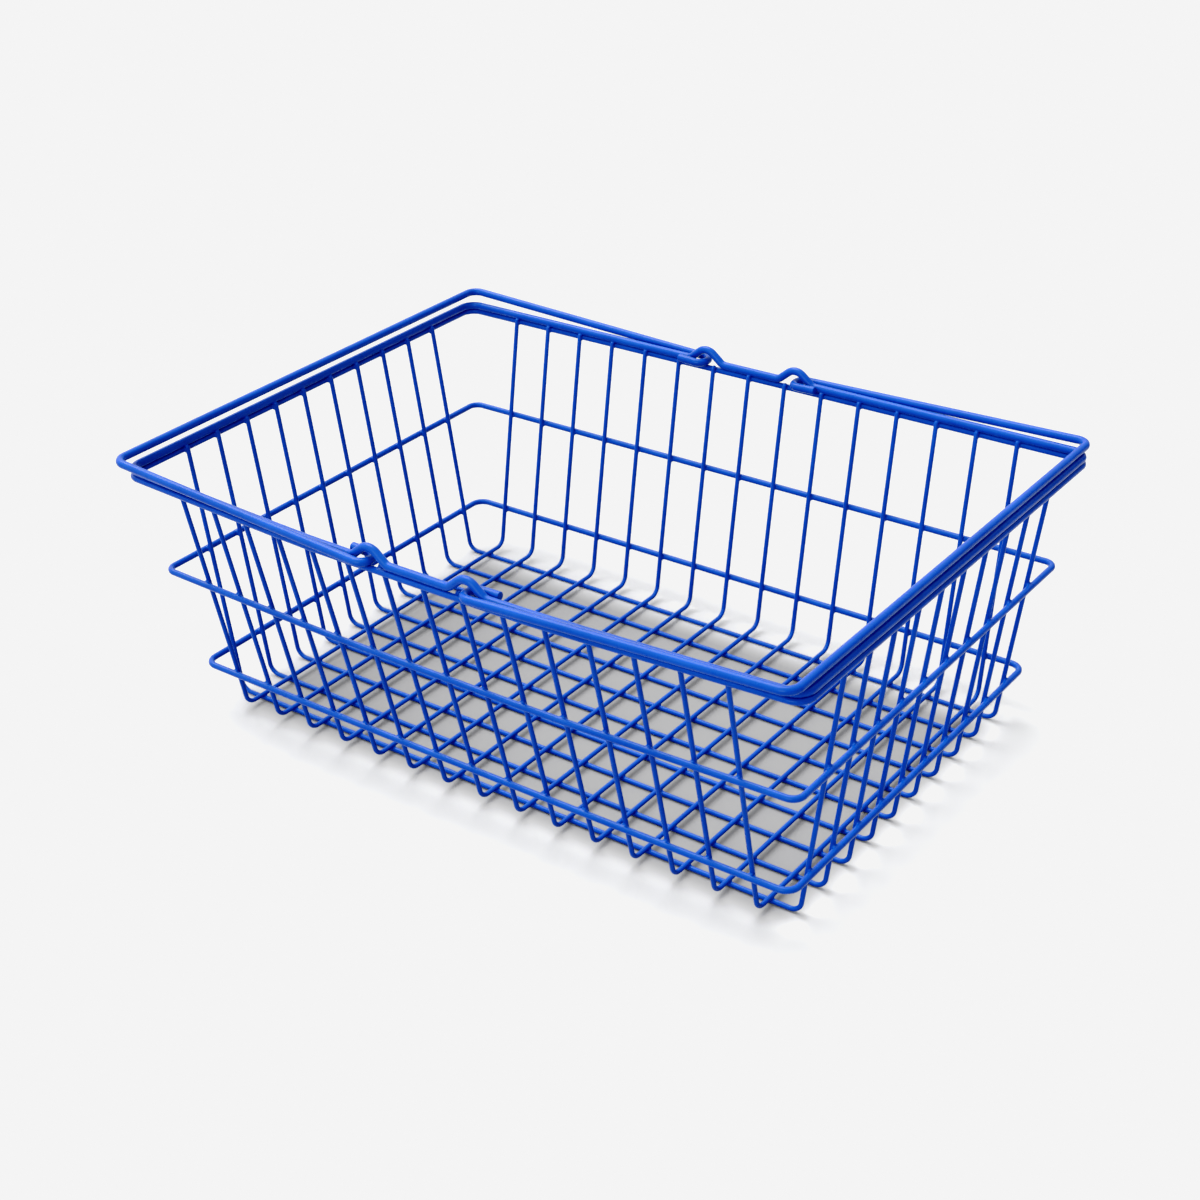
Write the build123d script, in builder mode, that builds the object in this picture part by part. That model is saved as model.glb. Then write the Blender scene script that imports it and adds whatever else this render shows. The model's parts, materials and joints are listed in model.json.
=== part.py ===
from build123d import *
import math
import os

# Wire shopping basket with two folding bail handles, in millimetres.
# X runs along the long sides, Y along the short sides from front to back, Z up.
# The origin is on the ground under the middle of the basket's floor.

# Wire diameters, coating included
rim_wire_d = 4.9
handle_wire_d = 4.9
band_wire_d = 3.8
grid_wire_d = 2.8

# Grid of the basket
cross_wire_count = 15
long_wire_count = 10
cross_pitch = 26.0
long_pitch = 24.8

# Centre line of the outermost grid wires, at the floor and at the sub-rim
floor_half_length = 199.5
floor_half_width = 125.0
top_half_length = 221.2
top_half_width = 152.8
floor_bend_r = 7.0

# Outward bow of the front long side at the sub-rim, fading to nothing at the floor.
# The middle of the side stays parallel to X, then one gentle bend leads to each corner.
front_bow = 9.0
bow_bend_x = 75.0
bow_bend_reach = 27.0

# Heights of the closed loops, to their wire centres
lower_band_z = 29.0
mid_band_z = 95.4
sub_rim_z = 158.7
rim_z = 163.1

# Corner radii of the closed loops, to their wire centres
lower_band_corner_r = 8.0
mid_band_corner_r = 6.5
rim_corner_r = 9.0

# How deep two crossing wires sink into each other at a resistance weld
weld_sink = 0.25

# How far the rim's centre line stands outside the grid wires' centre line
rim_offset = 2.5

# How far the upper ends of the grid wires lap the underside of the rim
wire_end_lap = 0.6

# Hinge eyes, humps bent up in the long sides of the rim
hinge_x = 32.5
hump_half_base = 12.0
hump_apex_rise = 10.0
hump_top_r = 8.0
hump_foot_r = 6.0

# Folding handles
hook_offset = 5.9
hook_bend_r = 5.3
hook_z = 163.3
stub_length = 17.0
handle_reach = 190.5
front_toe_in = 5.5
back_toe_in = 2.2
handle_corner_r = 7.5

# Height of each grip bar over the hinge line, folded out: the left one stands a little proud of the rim
left_handle_rise = 8.4
right_handle_rise = 5.6

# Values that follow from the ones above
long_wire_z = grid_wire_d / 2
cross_wire_z = long_wire_z + grid_wire_d - weld_sink
band_offset = (grid_wire_d + band_wire_d) / 2 - weld_sink
grid_top_z = rim_z - rim_wire_d / 2 + wire_end_lap
rim_half_length = top_half_length + rim_offset
rim_half_width = top_half_width + rim_offset


def wall_half_length(z):
    """Distance from the middle to the end walls at height z."""
    share = (z - long_wire_z) / (sub_rim_z - long_wire_z)
    return floor_half_length + share * (top_half_length - floor_half_length)


def wall_half_width(z):
    """Distance from the middle to the side walls at height z."""
    share = (z - cross_wire_z) / (sub_rim_z - cross_wire_z)
    return floor_half_width + share * (top_half_width - floor_half_width)


def bow_share(x):
    """Share of the bow at x: all of it in the middle, none at the corners."""
    bend_start = bow_bend_x - bow_bend_reach
    slope = 1 / (rim_half_length - bow_bend_x)
    into_bend = abs(x) - bend_start
    if into_bend <= 0:
        return 1.0
    if into_bend >= 2 * bow_bend_reach:
        return slope * (rim_half_length - abs(x))
    return 1.0 - slope * into_bend**2 / (4 * bow_bend_reach)


def front_half_width(x, z):
    """Distance from the middle to the bowed front wall, at x and height z."""
    share = (z - cross_wire_z) / (sub_rim_z - cross_wire_z)
    return wall_half_width(z) + share * front_bow * bow_share(x)


def bow_bend_radius(bow, half_length):
    """Radius of the gentle bend in a front side that bows outward by this much."""
    bend_angle = math.atan2(bow, half_length - bow_bend_x)
    return bow_bend_reach / math.tan(bend_angle / 2)


def hump_points(centre_x, side_y, direction):
    """Foot, apex and foot of one hinge eye, in the order the rim wire runs."""
    return [
        (centre_x - direction * hump_half_base, side_y, rim_z),
        (centre_x, side_y, rim_z + hump_apex_rise),
        (centre_x + direction * hump_half_base, side_y, rim_z),
    ]


def start_plane(path):
    """Plane across the start of a wire path."""
    return Plane(path @ 0, z_dir=path % 0)


def build_grid_wire(wire_plane, half_floor, first_top, second_top, floor_z):
    """One U-shaped grid wire: floor run, two bends and two walls, in an upright plane."""
    with BuildPart() as grid_wire:
        with BuildLine(wire_plane) as run:
            FilletPolyline(
                (-first_top, grid_top_z),
                (-half_floor, floor_z),
                (half_floor, floor_z),
                (second_top, grid_top_z),
                radius=floor_bend_r,
            )
        with BuildSketch(start_plane(run.line)):
            Circle(grid_wire_d / 2)
        sweep(path=run.line)
    return grid_wire.part


def build_band(corner_r, height):
    """One closed loop of the middle-weight wire, welded round the outside of the walls."""
    half_length = wall_half_length(height) + band_offset
    back_y = wall_half_width(height) + band_offset
    front_y = -front_half_width(0, height) - band_offset
    corner_y = -front_half_width(half_length, height) - band_offset
    bend_r = bow_bend_radius(corner_y - front_y, half_length)
    with BuildPart() as band:
        with BuildLine(Plane.XY.offset(height)) as run:
            FilletPolyline(
                (0, front_y),
                (bow_bend_x, front_y),
                (half_length, corner_y),
                (half_length, back_y),
                (0, back_y),
                radius=[bend_r, corner_r, corner_r],
            )
        with BuildSketch(start_plane(run.line)):
            Circle(band_wire_d / 2)
        sweep(path=run.line)
        mirror(about=Plane.YZ)
    return band.part


def build_rim():
    """Closed top wire with two hinge eyes bent up in each long side."""
    front_y = -rim_half_width - front_bow
    bend_and_corners = [
        (bow_bend_x, front_y, rim_z),
        (rim_half_length, -rim_half_width, rim_z),
        (rim_half_length, rim_half_width, rim_z),
    ]
    half_path = (
        [(0, front_y, rim_z)]
        + hump_points(hinge_x, front_y, 1)
        + bend_and_corners
        + hump_points(hinge_x, rim_half_width, -1)
        + [(0, rim_half_width, rim_z)]
    )
    hump_radii = [hump_foot_r, hump_top_r, hump_foot_r]
    bend_r = bow_bend_radius(front_bow, rim_half_length)
    bend_radii = hump_radii + [bend_r, rim_corner_r, rim_corner_r] + hump_radii
    with BuildPart() as rim:
        with BuildLine() as run:
            FilletPolyline(*half_path, radius=bend_radii)
        with BuildSketch(start_plane(run.line)):
            Circle(rim_wire_d / 2)
        sweep(path=run.line)
        mirror(about=Plane.YZ)
    return rim.part


def build_handle(side, rise):
    """One bail handle: grip bar, two arms, and a hook with a stub at each end."""
    tilt = math.atan2(rise, handle_reach)
    arm_direction = (side * math.cos(tilt), 0, math.sin(tilt))
    upward = (-side * math.sin(tilt), 0, math.cos(tilt))
    handle_plane = Plane((side * hinge_x, 0, hook_z), x_dir=arm_direction, z_dir=upward)
    reach = math.hypot(handle_reach, rise)
    back_y = side * rim_half_width
    front_y = -side * (rim_half_width + front_bow)
    hook_y = side * hook_offset
    grip_back_y = back_y + hook_y - side * back_toe_in
    grip_front_y = front_y - hook_y + side * front_toe_in
    hook_radii = [hook_bend_r, hook_bend_r]
    with BuildPart() as handle:
        with BuildLine(handle_plane) as run:
            FilletPolyline(
                (stub_length, back_y - hook_y),
                (0, back_y - hook_y),
                (0, back_y + hook_y),
                (reach, grip_back_y),
                (reach, grip_front_y),
                (0, front_y - hook_y),
                (0, front_y + hook_y),
                (stub_length, front_y + hook_y),
                radius=hook_radii + [handle_corner_r, handle_corner_r] + hook_radii,
            )
        with BuildSketch(start_plane(run.line)):
            Circle(handle_wire_d / 2)
        sweep(path=run.line)
    return handle.part


def write_part(piece, name):
    """Label one finished piece and write it to its own STEP file."""
    piece.label = name
    export_step(piece, f"parts/{name}.step")


os.makedirs("parts", exist_ok=True)

# Closed loops, from the top down
write_part(build_rim(), "rim_wire")
write_part(build_band(rim_corner_r, sub_rim_z), "sub_rim_wire")
write_part(build_band(mid_band_corner_r, mid_band_z), "mid_band")
write_part(build_band(lower_band_corner_r, lower_band_z), "lower_band")

# Cross wires run along Y and rise up the long sides
for index in range(cross_wire_count):
    x = (index - (cross_wire_count - 1) / 2) * cross_pitch
    cross_plane = Plane.YZ.offset(x)
    front_top = front_half_width(x, grid_top_z)
    back_top = wall_half_width(grid_top_z)
    cross_wire = build_grid_wire(cross_plane, floor_half_width, front_top, back_top, cross_wire_z)
    write_part(cross_wire, f"cross_wire_{index + 1:02d}")

# Long wires run along X under the cross wires and rise up the short sides
for index in range(long_wire_count):
    y = (index - (long_wire_count - 1) / 2) * long_pitch
    long_plane = Plane.XZ.offset(-y)
    end_top = wall_half_length(grid_top_z)
    long_wire = build_grid_wire(long_plane, floor_half_length, end_top, end_top, long_wire_z)
    write_part(long_wire, f"long_wire_{index + 1:02d}")

write_part(build_handle(-1, left_handle_rise), "left_handle")
write_part(build_handle(1, right_handle_rise), "right_handle")
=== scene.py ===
"""Wire shopping basket with two folding handles: bent wires, weld coats and a blue powder coat."""

import json
import math
import random

import bpy
from mathutils import Matrix, Vector


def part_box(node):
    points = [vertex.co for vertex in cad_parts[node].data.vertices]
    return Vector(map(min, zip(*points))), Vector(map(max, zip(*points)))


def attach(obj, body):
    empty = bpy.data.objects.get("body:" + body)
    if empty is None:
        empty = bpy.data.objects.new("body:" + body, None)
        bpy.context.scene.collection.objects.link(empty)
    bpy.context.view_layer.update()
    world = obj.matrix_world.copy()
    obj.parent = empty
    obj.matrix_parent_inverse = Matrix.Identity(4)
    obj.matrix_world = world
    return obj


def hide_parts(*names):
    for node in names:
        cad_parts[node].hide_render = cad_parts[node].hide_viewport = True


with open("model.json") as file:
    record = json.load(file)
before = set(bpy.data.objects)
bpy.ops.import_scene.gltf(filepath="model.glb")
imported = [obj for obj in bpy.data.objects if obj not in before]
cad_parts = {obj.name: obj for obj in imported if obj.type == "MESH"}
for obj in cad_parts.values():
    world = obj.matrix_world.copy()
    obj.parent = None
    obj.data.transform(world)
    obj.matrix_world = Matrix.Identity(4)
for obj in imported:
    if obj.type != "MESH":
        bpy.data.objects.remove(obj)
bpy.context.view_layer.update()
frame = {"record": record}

MM = 0.001

# ---------------------------------------------------------------- driving sizes, in metres
GRID_R = 1.4 * MM
BAND_R = 1.9 * MM
RIM_R = 2.45 * MM
HANDLE_R = 2.45 * MM
WELD_SINK = 0.25 * MM
FLOOR_BEND_R = 7.0 * MM
LOWER_BAND_CORNER_R = 8.0 * MM
MID_BAND_CORNER_R = 6.5 * MM
RIM_CORNER_R = 9.0 * MM
BOW_BEND_X = 75.0 * MM
BOW_BEND_REACH = 27.0 * MM

HUMP_HALF_BASE = 12.0 * MM
HUMP_RISE = 10.0 * MM
HUMP_TOP_R = 8.0 * MM
HUMP_FOOT_R = 6.0 * MM

HOOK_OFFSET = 5.9 * MM
HOOK_BEND_R = 5.3 * MM
STUB_LENGTH = 17.0 * MM
FRONT_TOE_IN = 5.5 * MM
BACK_TOE_IN = 2.2 * MM
HANDLE_CORNER_R = 7.5 * MM
CUT_EDGE_R = 0.5 * MM

# A grid wire's domed tip starts this far short of the end of the CAD wire
TIP_TRIM = GRID_R * 0.7

# Smallest and largest radius of the coat that fills a corner, in millimetres
FLOOR_WEB_MM = (0.8, 1.3)
BAND_WEB_MM = (0.9, 1.5)
TIP_BEAD_MM = (0.5, 0.9)
WEB_SEED = 7

CROSS_WIRES = 15
LONG_WIRES = 10

# Mesh fineness
BEND_STEP = math.radians(5.0)
STRAIGHT_STEP = 14.0 * MM
GRID_SIDES = 24
BAND_SIDES = 28
RIM_SIDES = 40
END_ROUNDING_STEPS = 6
WEB_LOOP_STEPS = 32
WEB_ARC_STEPS = 6

# Powder coat: gloss, colours, and the noise patterns' scales in features per metre
COAT_IOR = 1.5
COAT_SPECULAR_LEVEL = 0.13
COAT_SPECULAR_TINT = (0.60, 0.85, 1.0, 1)
COAT_DEEP_BLUE = (0.0040, 0.031, 0.225, 1)
COAT_PALE_BLUE = (0.0070, 0.042, 0.275, 1)
COAT_SPECK_BLUE = (0.010, 0.065, 0.33, 1)
COAT_ROUGHNESS = (0.24, 0.33)
CLOUD_SCALE = 38.0
SPECK_SCALE = 2600.0
GLOSS_SCALE = 120.0
PEEL_SCALE = 900.0
PEEL_STRENGTH = 0.12
PEEL_DEPTH = 0.06 * MM

# Studio floor and its greyer patch of painted shade under the basket, in metres
FLOOR_SIZE = 16.0
FLOOR_DROP = 0.0002
SHADE_PATCH_MIDDLE = (0.006, -0.009)
SHADE_PATCH_HALF_SIZE = (0.180, 0.104)
SHADE_PATCH_FADE = 0.021
PAINTED_SHADE_GREY = (0.152, 0.152, 0.152, 1)
PAPER_GREY = (0.360, 0.360, 0.360, 1)

# Sky: strength grows from its dark side to its bright side, and the camera sees an even one
SKY_BRIGHT_SIDE = (-0.45, -0.12, 0.885)
SKY_FACING = (-0.2, 1.0)
SKY_STRENGTH = (0.15, 3.0)
SKY_STRENGTH_SEEN = 1.1

# Tone curve of the view: the master curve, where white lands, and the points below it
TONE_MASTER_CURVE = 3
TONE_TOP = (1.0, 0.905)
TONE_POINTS = ((0.025, 0.003), (0.06, 0.032), (0.13, 0.125), (0.5, 0.5), (0.8, 0.68))

# Camera, from its fit to the photo
CAMERA_AZIMUTH = math.radians(36.58)
CAMERA_ELEVATION = math.radians(28.99)
CAMERA_ROLL = math.radians(-1.63)
CAMERA_DISTANCE = 1.3323
CAMERA_TARGET = Vector((-0.07444, 0.09201, 0.00778))
CAMERA_LENS_MM = 60.96
CAMERA_SENSOR_MM = 36.0

X, Y, Z = Vector((1, 0, 0)), Vector((0, 1, 0)), Vector((0, 0, 1))

# ---------------------------------------------------------------- places, from the frame
joints = {joint["name"]: joint for joint in frame["record"]["behaviour"]["joints"]}
HINGE_X = abs(joints["right_handle_fold"]["pos_m"][0])
HOOK_Z = joints["right_handle_fold"]["pos_m"][2]


def box_span(node):
    """Lowest and highest corner of a CAD node's box."""
    low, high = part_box(node)
    return Vector(low), Vector(high)


def loop_centre_line(node, wire_r):
    """Half length, half width at the straight back, and height of a closed loop's centre line."""
    low, high = box_span(node)
    return high.x - wire_r, high.y - wire_r, low.z + wire_r


lower_loop = loop_centre_line("lower_band", BAND_R)
mid_loop = loop_centre_line("mid_band", BAND_R)
sub_rim_loop = loop_centre_line("sub_rim_wire", BAND_R)
rim_half_length, rim_half_width, rim_z = loop_centre_line("rim_wire", RIM_R)

BAND_OFFSET = GRID_R + BAND_R - WELD_SINK
LONG_WIRE_Z = box_span("long_wire_01")[0].z + GRID_R
CROSS_WIRE_Z = box_span("cross_wire_01")[0].z + GRID_R
FRONT_BOW = -box_span("rim_wire")[0].y - box_span("rim_wire")[1].y


def wall_line(axis):
    """Offset and slope of the straight walls' wires: distance = offset + slope * height."""
    low, high = lower_loop, sub_rim_loop
    slope = (high[axis] - low[axis]) / (high[2] - low[2])
    return low[axis] - BAND_OFFSET - slope * low[2], slope


END_WALL = wall_line(0)
BACK_WALL = wall_line(1)


def end_wall_x(z):
    """Distance of the end walls' wires from the middle at height z."""
    return END_WALL[0] + END_WALL[1] * z


def back_wall_y(z):
    """Distance of the back wall's wires from the middle at height z."""
    return BACK_WALL[0] + BACK_WALL[1] * z


def bow_share(x):
    """Share of the front bow at x: all of it in the middle, none at the corners."""
    slope = 1 / (rim_half_length - BOW_BEND_X)
    into_bend = abs(x) - (BOW_BEND_X - BOW_BEND_REACH)
    if into_bend <= 0:
        return 1.0
    if into_bend >= 2 * BOW_BEND_REACH:
        return slope * (rim_half_length - abs(x))
    return 1.0 - slope * into_bend**2 / (4 * BOW_BEND_REACH)


def bow_slope(x):
    """How far the front bow falls per metre along X."""
    return (bow_share(x - MM) - bow_share(x + MM)) / (2 * MM) * FRONT_BOW


def front_wall_slope(x):
    """Lean of the front wall wire at x: distance per height."""
    return BACK_WALL[1] + FRONT_BOW * bow_share(x) / (sub_rim_loop[2] - CROSS_WIRE_Z)


def front_wall_y(x, z):
    """Distance of the bowed front wall's wires from the middle."""
    return back_wall_y(CROSS_WIRE_Z) + front_wall_slope(x) * (z - CROSS_WIRE_Z)


def node_middle(node, axis):
    """Middle of a CAD node's box along one axis."""
    low, high = box_span(node)
    return (low[axis] + high[axis]) / 2


CROSS_XS = [node_middle(f"cross_wire_{i + 1:02d}", 0) for i in range(CROSS_WIRES)]
LONG_YS = [node_middle(f"long_wire_{i + 1:02d}", 1) for i in range(LONG_WIRES)]
FIRST_WIRE_LEAN = math.atan(front_wall_slope(CROSS_XS[0]))
GRID_TOP_Z = box_span("cross_wire_01")[1].z - GRID_R * math.sin(FIRST_WIRE_LEAN)


# ---------------------------------------------------------------- mesh tools
def rounded_path(points, radii, closed=False):
    """Centre line of a bent wire: straight runs joined by arcs of the given radii."""
    points = [Vector(p) for p in points]
    count = len(points)
    corners = range(count) if closed else range(1, count - 1)
    line = [] if closed else [points[0]]
    for number, i in enumerate(corners):
        before = (points[i] - points[i - 1]).normalized()
        after = (points[(i + 1) % count] - points[i]).normalized()
        turn = before.angle(after)
        radius = radii[number]
        start = points[i] - before * radius * math.tan(turn / 2)
        inward = (after - before * before.dot(after)).normalized()
        centre = start + inward * radius
        steps = max(2, math.ceil(turn / BEND_STEP))
        for step in range(steps + 1):
            angle = turn * step / steps
            from_centre = before * math.sin(angle) - inward * math.cos(angle)
            line.append(centre + from_centre * radius)
    if not closed:
        line.append(points[-1])
    return divide_runs(line, closed)


def divide_runs(line, closed):
    """Adds evenly spaced points on the long straight runs."""
    result = []
    count = len(line)
    for i in range(count if closed else count - 1):
        a, b = line[i], line[(i + 1) % count]
        pieces = max(1, math.ceil((b - a).length / STRAIGHT_STEP))
        result += [a.lerp(b, k / pieces) for k in range(pieces)]
    if not closed:
        result.append(line[-1])
    return result


def ring_frames(line, closed):
    """A steady pair of cross directions at each point of the line."""
    count = len(line)
    tangents = []
    for i in range(count):
        ahead = line[(i + 1) % count] if closed or i < count - 1 else line[i]
        behind = line[i - 1] if closed or i > 0 else line[i]
        tangents.append((ahead - behind).normalized())
    side = tangents[0].orthogonal().normalized()
    frames = []
    for tangent in tangents:
        side = (side - tangent * tangent.dot(side)).normalized()
        frames.append((side.copy(), tangent.cross(side)))
    if closed:
        first = frames[0][0]
        last = (side - tangents[0] * tangents[0].dot(side)).normalized()
        twist = math.atan2(tangents[0].cross(first).dot(last), first.dot(last))
        for i, (u, v) in enumerate(frames):
            angle = -twist * i / count
            cosine, sine = math.cos(angle), math.sin(angle)
            frames[i] = (u * cosine + v * sine, v * cosine - u * sine)
    return tangents, frames


def add_object(name, verts, faces):
    """A smooth-shaded mesh object in the scene."""
    mesh = bpy.data.meshes.new(name)
    mesh.from_pydata([tuple(v) for v in verts], [], faces)
    mesh.validate()
    mesh.update()
    mesh.polygons.foreach_set("use_smooth", [True] * len(mesh.polygons))
    piece = bpy.data.objects.new(name, mesh)
    bpy.context.scene.collection.objects.link(piece)
    return piece


def end_rings(point, outward, cross_axes, radius, end_round):
    """Shrinking rings from the wire's end towards its tip: centre, radius and cross directions."""
    rings = []
    for k in range(1, END_ROUNDING_STEPS):
        angle = math.pi / 2 * k / END_ROUNDING_STEPS
        shrunk = radius - end_round + end_round * math.cos(angle)
        forward = end_round * math.sin(angle)
        rings.append((point + outward * forward, shrunk, cross_axes))
    return rings


def wire(name, line, radius, sides, closed=False, end_round=0.0):
    """One bent wire. Open ends are rounded over by end_round, up to a full dome."""
    tangents, frames = ring_frames(line, closed)
    rings = [(line[i], radius, frames[i]) for i in range(len(line))]
    if not closed:
        first_rings = end_rings(line[0], -tangents[0], frames[0], radius, end_round)
        last_rings = end_rings(line[-1], tangents[-1], frames[-1], radius, end_round)
        rings = first_rings[::-1] + rings + last_rings
    verts, faces = [], []
    for centre, r, (u, v) in rings:
        for k in range(sides):
            angle = 2 * math.pi * k / sides
            verts.append(centre + (u * math.cos(angle) + v * math.sin(angle)) * r)
    for i in range(len(rings) if closed else len(rings) - 1):
        a, b = i * sides, ((i + 1) % len(rings)) * sides
        for k in range(sides):
            n = (k + 1) % sides
            faces.append((a + k, a + n, b + n, b + k))
    if not closed:
        tips = (
            (0, line[0] - tangents[0] * end_round, True),
            ((len(rings) - 1) * sides, line[-1] + tangents[-1] * end_round, False),
        )
        for base, tip, flip in tips:
            tip_vert = len(verts)
            verts.append(tip)
            for k in range(sides):
                n = (k + 1) % sides
                a, b = (n, k) if flip else (k, n)
                faces.append((base + a, base + b, tip_vert))
    return add_object(name, verts, faces)


def trimmed(line, length):
    """The line with that much taken off both ends, to leave room for the rounded tips."""
    line = list(line)
    line[0] = line[0] + (line[1] - line[0]).normalized() * length
    line[-1] = line[-1] + (line[-2] - line[-1]).normalized() * length
    return line


class PatchMesh:
    """Collects many small patches into one piece."""

    def __init__(self):
        self.verts = []
        self.faces = []

    def add_loop_strip(self, rows):
        """rows: one list of points for each step round a closed loop."""
        width = len(rows[0])
        base = len(self.verts)
        for row in rows:
            self.verts += row
        for i in range(len(rows)):
            a, b = base + i * width, base + ((i + 1) % len(rows)) * width
            for k in range(width - 1):
                self.faces.append((a + k, b + k, b + k + 1, a + k + 1))


def arc_between(centre, touch_a, touch_b):
    """Points of the short arc round centre from one touching point to the other."""
    a, b = touch_a - centre, touch_b - centre
    turn = a.angle(b)
    across = (b - a * (a.dot(b) / a.dot(a))).normalized() * a.length
    angles = [turn * k / WEB_ARC_STEPS for k in range(WEB_ARC_STEPS + 1)]
    return [centre + a * math.cos(angle) + across * math.sin(angle) for angle in angles]


def add_crossing_web(patch, centre, along_a, along_b, r_a, r_b, web_r):
    """Coat that fills the corner where wire b lies across wire a.

    centre is on wire a's axis. Wire b's axis is at centre + normal * (r_a + r_b - WELD_SINK).
    """
    normal = along_a.cross(along_b).normalized()
    gap = r_a + r_b - WELD_SINK
    reach_a, reach_b = r_a + web_r, r_b + web_r
    low, high = gap - reach_b, reach_a
    rows = []
    for step in range(WEB_LOOP_STEPS):
        angle = 2 * math.pi * step / WEB_LOOP_STEPS
        height = low + (high - low) * (1 - math.cos(2 * angle)) / 2
        side = math.copysign(math.sqrt(max(0.0, reach_a**2 - height**2)), math.cos(angle))
        run = math.copysign(math.sqrt(max(0.0, reach_b**2 - (height - gap) ** 2)), math.sin(angle))
        ball = Vector((run, side, height))
        touch_a = Vector((run, side * r_a / reach_a, height * r_a / reach_a))
        touch_b = Vector((run * r_b / reach_b, side, gap + (height - gap) * r_b / reach_b))
        rows.append(arc_between(ball, touch_a, touch_b))
    axes = (along_a, normal.cross(along_a), normal)

    def place(point):
        return centre + sum((axis * part for axis, part in zip(axes, point)), Vector())

    patch.add_loop_strip([[place(point) for point in row] for row in rows])


def add_tip_bead(patch, tip_centre, tip_r, axis_point, axis_dir, r_b, web_r):
    """Coat round the spot where a wire's domed tip meets the side of a thicker wire."""
    to_tip = tip_centre - axis_point
    to_tip -= axis_dir * axis_dir.dot(to_tip)
    out = to_tip.normalized()
    across = axis_dir.cross(out)
    reach_a, reach_b = tip_r + web_r, r_b + web_r
    distance = to_tip.length
    limit = (reach_b**2 + distance**2 - reach_a**2) / (2 * reach_b * distance)
    if limit >= 1:
        return
    half_angle = math.acos(max(-1.0, limit))
    foot = tip_centre - to_tip
    rows = []
    for step in range(WEB_LOOP_STEPS):
        angle = 2 * math.pi * step / WEB_LOOP_STEPS
        psi = half_angle * math.cos(angle)
        flat = out * math.cos(psi) * reach_b + across * math.sin(psi) * reach_b
        run = math.sqrt(max(0.0, reach_a**2 - (flat - to_tip).length_squared))
        ball = foot + flat + axis_dir * math.copysign(run, math.sin(angle))
        touch_tip = tip_centre + (ball - tip_centre) * (tip_r / reach_a)
        near_axis = foot + axis_dir * axis_dir.dot(ball - foot)
        touch_b = near_axis + (ball - near_axis) * (r_b / reach_b)
        rows.append(arc_between(ball, touch_tip, touch_b))
    patch.add_loop_strip(rows)


# ---------------------------------------------------------------- powder coat material
def noise(tree, place, scale, detail, roughness=0.5):
    """Noise pattern in the piece's own space, as one factor."""
    node = tree.nodes.new("ShaderNodeTexNoise")
    node.inputs["Scale"].default_value = scale
    node.inputs["Detail"].default_value = detail
    node.inputs["Roughness"].default_value = roughness
    tree.links.new(place.outputs["Object"], node.inputs["Vector"])
    return node.outputs["Fac"]


def colour_ramp(tree, factor, low, high):
    """Colour ramp between two stops, each a position and a colour."""
    node = tree.nodes.new("ShaderNodeValToRGB")
    for element, (position, colour) in zip(node.color_ramp.elements, (low, high)):
        element.position = position
        element.color = colour
    tree.links.new(factor, node.inputs["Fac"])
    return node.outputs["Color"]


def map_range(tree, value, from_range, to_range, interpolation="LINEAR"):
    """Maps one range of values to another."""
    node = tree.nodes.new("ShaderNodeMapRange")
    node.interpolation_type = interpolation
    node.inputs["From Min"].default_value, node.inputs["From Max"].default_value = from_range
    node.inputs["To Min"].default_value, node.inputs["To Max"].default_value = to_range
    tree.links.new(value, node.inputs["Value"])
    return node.outputs["Result"]


def powder_coat(name):
    """Blue powder coat: uneven blue, fine specks, soft gloss and orange peel."""
    material = bpy.data.materials.new(name)
    material.use_nodes = True
    tree = material.node_tree
    link = tree.links.new
    shader = tree.nodes["Principled BSDF"]
    shader.inputs["IOR"].default_value = COAT_IOR
    shader.inputs["Specular IOR Level"].default_value = COAT_SPECULAR_LEVEL
    shader.inputs["Specular Tint"].default_value = COAT_SPECULAR_TINT
    place = tree.nodes.new("ShaderNodeTexCoord")

    # Slow change of coat thickness along each wire: a touch deeper or paler
    cloud = noise(tree, place, CLOUD_SCALE, detail=3.0, roughness=0.55)
    blues = colour_ramp(tree, cloud, low=(0.30, COAT_DEEP_BLUE), high=(0.72, COAT_PALE_BLUE))

    # Fine dust cured into the coat
    speck = noise(tree, place, SPECK_SCALE, detail=1.0)
    speck_share = colour_ramp(tree, speck, low=(0.70, (0, 0, 0, 1)), high=(0.80, (1, 1, 1, 1)))
    tint = tree.nodes.new("ShaderNodeMix")
    tint.data_type = "RGBA"
    tint.inputs["B"].default_value = COAT_SPECK_BLUE
    link(blues, tint.inputs["A"])
    link(speck_share, tint.inputs["Factor"])
    link(tint.outputs["Result"], shader.inputs["Base Color"])

    # Gloss: smooth melt with slightly duller patches from handling
    gloss = noise(tree, place, GLOSS_SCALE, detail=4.0, roughness=0.6)
    link(map_range(tree, gloss, (0.3, 0.75), COAT_ROUGHNESS), shader.inputs["Roughness"])

    # Orange peel: shallow ripples about a millimetre across
    bump = tree.nodes.new("ShaderNodeBump")
    bump.inputs["Strength"].default_value = PEEL_STRENGTH
    bump.inputs["Distance"].default_value = PEEL_DEPTH
    link(noise(tree, place, PEEL_SCALE, detail=2.0), bump.inputs["Height"])
    link(bump.outputs["Normal"], shader.inputs["Normal"])
    return material


coat = powder_coat("blue_powder_coat")


def finish_piece(piece, body, slot_name, *nodes):
    """Coats a piece, hangs it under its body's empty and hides the CAD nodes it replaces;
    slot_name is not used.
    """
    piece.data.materials.append(coat)
    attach(piece, body)
    if nodes:
        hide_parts(*nodes)


# ---------------------------------------------------------------- grid wires
def grid_wire(node, points):
    """One U-shaped grid wire with domed tips."""
    line = trimmed(rounded_path(points, [FLOOR_BEND_R, FLOOR_BEND_R]), TIP_TRIM)
    piece = wire(node + "_coated", line, GRID_R, GRID_SIDES, end_round=GRID_R)
    finish_piece(piece, "basket", "grid_wires", node)


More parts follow.
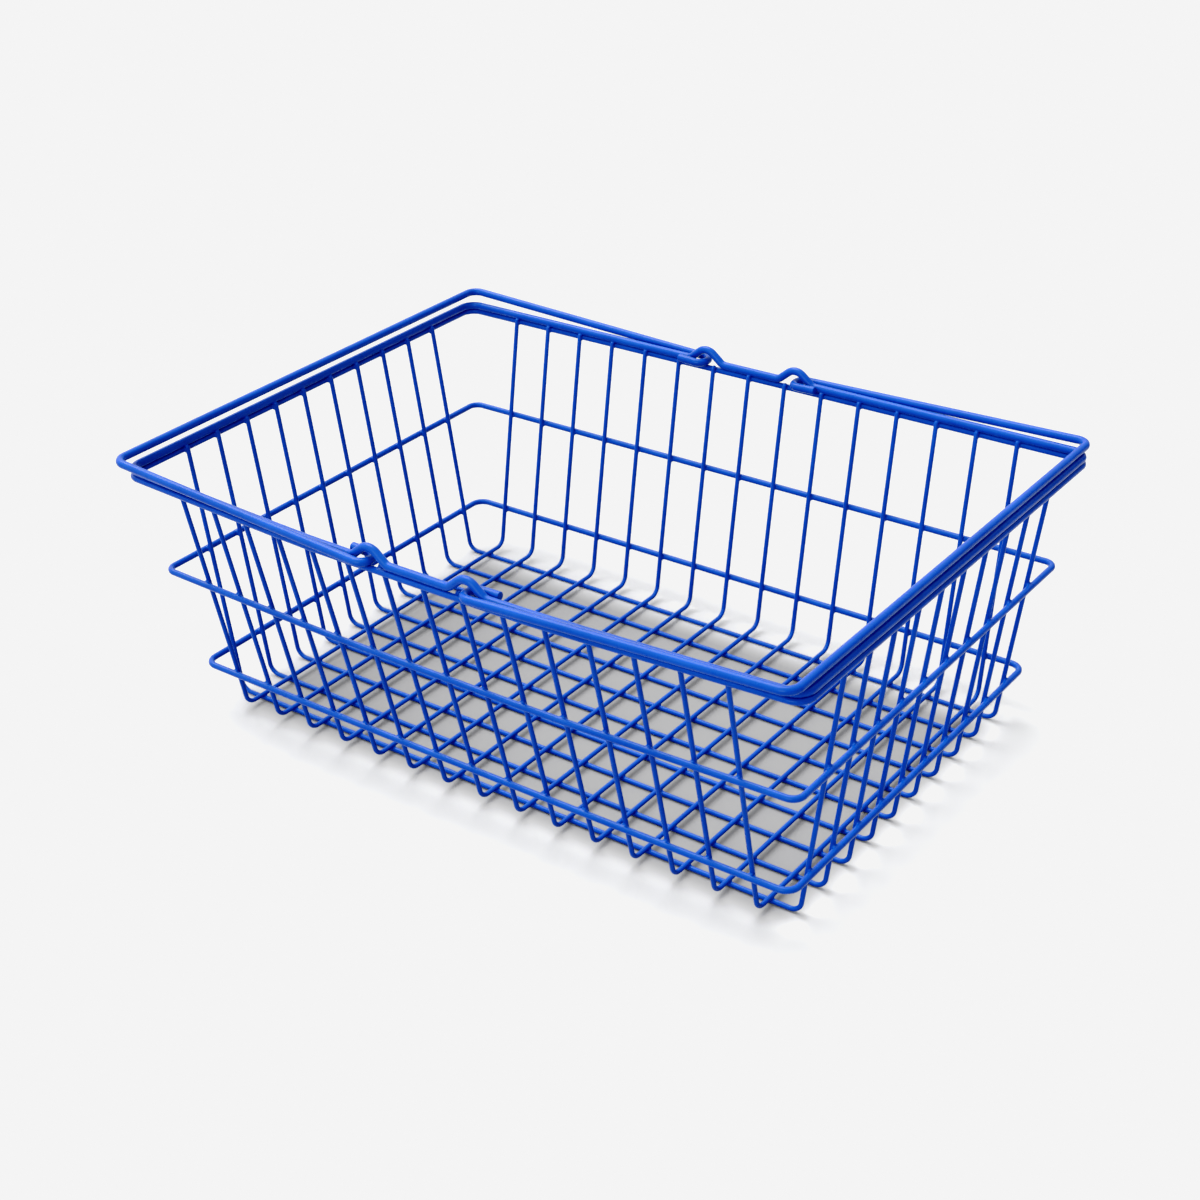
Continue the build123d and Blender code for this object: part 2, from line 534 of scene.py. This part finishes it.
for i, x in enumerate(CROSS_XS):
    foot, floor_z = back_wall_y(CROSS_WIRE_Z), CROSS_WIRE_Z
    front_top, back_top = front_wall_y(x, GRID_TOP_Z), back_wall_y(GRID_TOP_Z)
    grid_wire(
        f"cross_wire_{i + 1:02d}",
        [
            (x, -front_top, GRID_TOP_Z),
            (x, -foot, floor_z),
            (x, foot, floor_z),
            (x, back_top, GRID_TOP_Z),
        ],
    )
for i, y in enumerate(LONG_YS):
    foot, floor_z, top = end_wall_x(LONG_WIRE_Z), LONG_WIRE_Z, end_wall_x(GRID_TOP_Z)
    grid_wire(
        f"long_wire_{i + 1:02d}",
        [
            (-top, y, GRID_TOP_Z),
            (-foot, y, floor_z),
            (foot, y, floor_z),
            (top, y, GRID_TOP_Z),
        ],
    )


# ---------------------------------------------------------------- bands and rim
def bow_bend_radius(bow, half_length):
    """Radius of the gentle bend in a front side that bows outward by this much."""
    return BOW_BEND_REACH / math.tan(math.atan2(bow, half_length - BOW_BEND_X) / 2)


def band(name, node, loop, corner_r, slot_name):
    """One closed loop of the middle-weight wire, with the bowed front side."""
    half_length, back_y, z = loop
    front_y = -front_wall_y(0, z) - BAND_OFFSET
    corner_y = -front_wall_y(half_length, z) - BAND_OFFSET
    bend_r = bow_bend_radius(corner_y - front_y, half_length)
    points = [
        (-BOW_BEND_X, front_y, z),
        (BOW_BEND_X, front_y, z),
        (half_length, corner_y, z),
        (half_length, back_y, z),
        (-half_length, back_y, z),
        (-half_length, corner_y, z),
    ]
    line = rounded_path(points, [bend_r] * 2 + [corner_r] * 4, closed=True)
    piece = wire(name, line, BAND_R, BAND_SIDES, closed=True)
    finish_piece(piece, "basket", slot_name, node)


band("lower_band_coated", "lower_band", lower_loop, LOWER_BAND_CORNER_R, "lower_band")
band("mid_band_coated", "mid_band", mid_loop, MID_BAND_CORNER_R, "mid_band")
band("sub_rim_coated", "sub_rim_wire", sub_rim_loop, RIM_CORNER_R, "sub_rim_wire")


def hump(centre_x, y, z, direction):
    """Foot, apex and foot of one hinge eye, in the order the rim wire runs."""
    return [
        (centre_x - direction * HUMP_HALF_BASE, y, z),
        (centre_x, y, z + HUMP_RISE),
        (centre_x + direction * HUMP_HALF_BASE, y, z),
    ]


rim_front_y = -rim_half_width - FRONT_BOW
rim_points = (
    [(-rim_half_length, -rim_half_width, rim_z), (-BOW_BEND_X, rim_front_y, rim_z)]
    + hump(-HINGE_X, rim_front_y, rim_z, 1)
    + hump(HINGE_X, rim_front_y, rim_z, 1)
    + [(BOW_BEND_X, rim_front_y, rim_z), (rim_half_length, -rim_half_width, rim_z)]
    + [(rim_half_length, rim_half_width, rim_z)]
    + hump(HINGE_X, rim_half_width, rim_z, -1)
    + hump(-HINGE_X, rim_half_width, rim_z, -1)
    + [(-rim_half_length, rim_half_width, rim_z)]
)
hump_radii = [HUMP_FOOT_R, HUMP_TOP_R, HUMP_FOOT_R] * 2
rim_bend_r = bow_bend_radius(FRONT_BOW, rim_half_length)
front_radii = [RIM_CORNER_R, rim_bend_r] + hump_radii + [rim_bend_r, RIM_CORNER_R]
rim_radii = front_radii + [RIM_CORNER_R] + hump_radii + [RIM_CORNER_R]
rim_line = rounded_path(rim_points, rim_radii, closed=True)
rim = wire("rim_coated", rim_line, RIM_R, RIM_SIDES, closed=True)
finish_piece(rim, "basket", "rim_wire", "rim_wire")


# ---------------------------------------------------------------- handles
def handle(name, node, side):
    """One bail handle: grip bar, two arms, and a hook with a stub at each end."""
    low, high = box_span(node)
    grip_x = high.x - HANDLE_R if side > 0 else -(low.x + HANDLE_R)
    rise = high.z - HANDLE_R - HOOK_Z
    tilt = math.atan2(rise, grip_x - HINGE_X)
    reach = math.hypot(rise, grip_x - HINGE_X)
    front_y, back_y = rim_front_y, rim_half_width

    def at(distance, y):
        """Point that far from the hinge line, in the handle's tilted plane."""
        x = side * (HINGE_X + distance * math.cos(tilt))
        return (x, y, HOOK_Z + distance * math.sin(tilt))

    points = [
        at(STUB_LENGTH, front_y + HOOK_OFFSET),
        at(0, front_y + HOOK_OFFSET),
        at(0, front_y - HOOK_OFFSET),
        at(reach, front_y - HOOK_OFFSET + FRONT_TOE_IN),
        at(reach, back_y + HOOK_OFFSET - BACK_TOE_IN),
        at(0, back_y + HOOK_OFFSET),
        at(0, back_y - HOOK_OFFSET),
        at(STUB_LENGTH, back_y - HOOK_OFFSET),
    ]
    hook_radii = [HOOK_BEND_R, HOOK_BEND_R]
    line = rounded_path(points, hook_radii + [HANDLE_CORNER_R, HANDLE_CORNER_R] + hook_radii)
    piece = wire(name, trimmed(line, CUT_EDGE_R), HANDLE_R, RIM_SIDES, end_round=CUT_EDGE_R)
    finish_piece(piece, node, "handles", node)


handle("left_handle_coated", "left_handle", -1)
handle("right_handle_coated", "right_handle", 1)

# ---------------------------------------------------------------- weld coats
chance = random.Random(WEB_SEED)


def web_size(range_mm):
    """Radius of one coat web, drawn from a range in millimetres."""
    return chance.uniform(*range_mm) * MM


floor_webs = PatchMesh()
for x in CROSS_XS:
    for y in LONG_YS:
        crossing = Vector((x, y, LONG_WIRE_Z))
        add_crossing_web(floor_webs, crossing, X, Y, GRID_R, GRID_R, web_size(FLOOR_WEB_MM))
floor_coat = add_object("floor_weld_coat", floor_webs.verts, floor_webs.faces)
finish_piece(floor_coat, "basket", "grid_wires")


def wall_webs(name, loop, slot_name):
    """Webs where one band crosses the uprights on all four walls."""
    half_length, back_y, z = loop
    height_share = (z - CROSS_WIRE_Z) / (sub_rim_loop[2] - CROSS_WIRE_Z)
    patch = PatchMesh()

    def web(band_point, outward_flat, lean, band_axis):
        """outward_flat points out of the basket, lean is the wall's slope there."""
        upright = (Z + outward_flat * lean).normalized()
        outward = (outward_flat - Z * lean).normalized()
        if upright.cross(band_axis).dot(outward) < 0:
            band_axis = -band_axis
        crossing = band_point - outward * BAND_OFFSET
        web_r = web_size(BAND_WEB_MM)
        add_crossing_web(patch, crossing, upright, band_axis, GRID_R, BAND_R, web_r)

    for x in CROSS_XS:
        web(Vector((x, back_y, z)), Y, BACK_WALL[1], X)
        rise_along_x = math.copysign(bow_slope(abs(x)) * height_share, x)
        along_front = Vector((1, rise_along_x, 0)).normalized()
        front_point = Vector((x, -front_wall_y(x, z) - BAND_OFFSET, z))
        web(front_point, -Y, front_wall_slope(x), along_front)
    for y in LONG_YS:
        for face in (-1, 1):
            web(Vector((face * half_length, y, z)), X * face, END_WALL[1], Y)
    finish_piece(add_object(name, patch.verts, patch.faces), "basket", slot_name)


wall_webs("lower_band_weld_coat", lower_loop, "lower_band")
wall_webs("mid_band_weld_coat", mid_loop, "mid_band")
wall_webs("sub_rim_weld_coat", sub_rim_loop, "sub_rim_wire")

tip_beads = PatchMesh()
tip_z = GRID_TOP_Z - TIP_TRIM


def tip_bead(tip, rim_point, rim_direction):
    """Bead of coat where one grid wire's tip meets the rim."""
    tip, rim_point = Vector(tip), Vector(rim_point)
    bead_r = web_size(TIP_BEAD_MM)
    add_tip_bead(tip_beads, tip, GRID_R, rim_point, rim_direction, RIM_R, bead_r)


for x in CROSS_XS:
    rim_y = -rim_half_width - FRONT_BOW * bow_share(x)
    tip_bead((x, back_wall_y(tip_z), tip_z), (x, rim_half_width, rim_z), X)
    tip_bead((x, -front_wall_y(x, tip_z), tip_z), (x, rim_y, rim_z), X)
for y in LONG_YS:
    for face in (-1, 1):
        tip_bead((face * end_wall_x(tip_z), y, tip_z), (face * rim_half_length, y, rim_z), Y)
rim_coat = add_object("rim_weld_coat", tip_beads.verts, tip_beads.faces)
finish_piece(rim_coat, "basket", "rim_wire")

# ---------------------------------------------------------------- floor, light and camera
bpy.ops.mesh.primitive_plane_add(size=FLOOR_SIZE, location=(0, 0, -FLOOR_DROP))
ground = bpy.context.object
ground.name = "studio_floor"


def math_node(tree, operation, first, second=None):
    """A Math node. Each input is a number or another node's output."""
    node = tree.nodes.new("ShaderNodeMath")
    node.operation = operation
    for socket, value in zip(node.inputs, (first, second)):
        if isinstance(value, bpy.types.NodeSocket):
            tree.links.new(value, socket)
        elif value is not None:
            socket.default_value = value
    return node.outputs["Value"]


def distance_past(tree, coordinate, middle, half_size):
    """How far a coordinate lies past the patch's straight edges, and 0 inside them."""
    from_middle = math_node(tree, "ABSOLUTE", math_node(tree, "SUBTRACT", coordinate, middle))
    return math_node(tree, "MAXIMUM", math_node(tree, "SUBTRACT", from_middle, half_size), 0.0)


def studio_paper():
    """Pale paper, greyer in a soft-edged patch right under the floor grid, as in the photo:
    painted shade under the basket.
    """
    paper = bpy.data.materials.new("studio_paper")
    paper.use_nodes = True
    tree = paper.node_tree
    shader = tree.nodes["Principled BSDF"]
    shader.inputs["Roughness"].default_value = 1.0
    shader.inputs["Specular IOR Level"].default_value = 0.0
    place = tree.nodes.new("ShaderNodeTexCoord")
    split = tree.nodes.new("ShaderNodeSeparateXYZ")
    tree.links.new(place.outputs["Object"], split.inputs["Vector"])
    past_x = distance_past(tree, split.outputs["X"], SHADE_PATCH_MIDDLE[0], SHADE_PATCH_HALF_SIZE[0])
    past_y = distance_past(tree, split.outputs["Y"], SHADE_PATCH_MIDDLE[1], SHADE_PATCH_HALF_SIZE[1])
    square_x = math_node(tree, "POWER", past_x, 2.0)
    square_y = math_node(tree, "POWER", past_y, 2.0)
    distance = math_node(tree, "SQRT", math_node(tree, "ADD", square_x, square_y))
    fade = map_range(tree, distance, (0.0, SHADE_PATCH_FADE), (0.0, 1.0), "SMOOTHSTEP")
    # Painted shade: the paper turns grey under the basket and fades back to pale past the patch's
    # edges
    shade = tree.nodes.new("ShaderNodeMix")
    shade.data_type = "RGBA"
    shade.inputs["A"].default_value = PAINTED_SHADE_GREY
    shade.inputs["B"].default_value = PAPER_GREY
    tree.links.new(fade, shade.inputs["Factor"])
    tree.links.new(shade.outputs["Result"], shader.inputs["Base Color"])
    return paper


ground.data.materials.append(studio_paper())


def soft_sun(name, from_direction, strength, spread_degrees):
    """A wide, soft sun that shines from that direction."""
    data = bpy.data.lights.new(name, "SUN")
    data.energy = strength
    data.angle = math.radians(spread_degrees)
    lamp = bpy.data.objects.new(name, data)
    lamp.rotation_euler = Vector(from_direction).to_track_quat("Z", "Y").to_euler()
    bpy.context.scene.collection.objects.link(lamp)


soft_sun("key_light", (-0.42, 0.12, 0.90), strength=5.0, spread_degrees=45)
soft_sun("front_light", (0.10, -0.95, 0.28), strength=1.8, spread_degrees=40)

world = bpy.data.worlds.new("studio")
bpy.context.scene.world = world
world.use_nodes = True
sky = world.node_tree
direction = sky.nodes.new("ShaderNodeTexCoord")
facing = sky.nodes.new("ShaderNodeVectorMath")
facing.operation = "DOT_PRODUCT"
facing.inputs[1].default_value = SKY_BRIGHT_SIDE
sky.links.new(direction.outputs["Generated"], facing.inputs[0])
strength = map_range(sky, facing.outputs["Value"], SKY_FACING, SKY_STRENGTH)

# What the camera sees past the floor is the same pale grey as the paper
ray = sky.nodes.new("ShaderNodeLightPath")
seen = sky.nodes.new("ShaderNodeMix")
seen.inputs["B"].default_value = SKY_STRENGTH_SEEN
sky.links.new(ray.outputs["Is Camera Ray"], seen.inputs["Factor"])
sky.links.new(strength, seen.inputs["A"])
sky.links.new(seen.outputs["Result"], sky.nodes["Background"].inputs["Strength"])
sky.nodes["Background"].inputs["Color"].default_value = (1, 1, 1, 1)

# The paper is exposed to one flat pale grey, as a product photograph has it
view = bpy.context.scene.view_settings
view.view_transform = "Standard"
view.use_curve_mapping = True
tone = view.curve_mapping
tone.extend = "HORIZONTAL"
master = tone.curves[TONE_MASTER_CURVE]
master.points[1].location = TONE_TOP
for level_in, level_out in TONE_POINTS:
    master.points.new(level_in, level_out)
for point in master.points:
    point.handle_type = "VECTOR"
tone.update()

back = Vector((
    math.sin(CAMERA_AZIMUTH) * math.cos(CAMERA_ELEVATION),
    -math.cos(CAMERA_AZIMUTH) * math.cos(CAMERA_ELEVATION),
    math.sin(CAMERA_ELEVATION),
))
right = (-back).cross(Z).normalized()
up = back.cross(right)
camera_right = right * math.cos(CAMERA_ROLL) + up * math.sin(CAMERA_ROLL)
camera_up = up * math.cos(CAMERA_ROLL) - right * math.sin(CAMERA_ROLL)
turn = Matrix((camera_right, camera_up, back)).transposed().to_4x4()
camera_data = bpy.data.cameras.new("camera")
camera_data.lens = CAMERA_LENS_MM
camera_data.sensor_width = CAMERA_SENSOR_MM
camera = bpy.data.objects.new("camera", camera_data)
camera.matrix_world = Matrix.Translation(CAMERA_TARGET + back * CAMERA_DISTANCE) @ turn
bpy.context.scene.collection.objects.link(camera)
bpy.context.scene.camera = camera
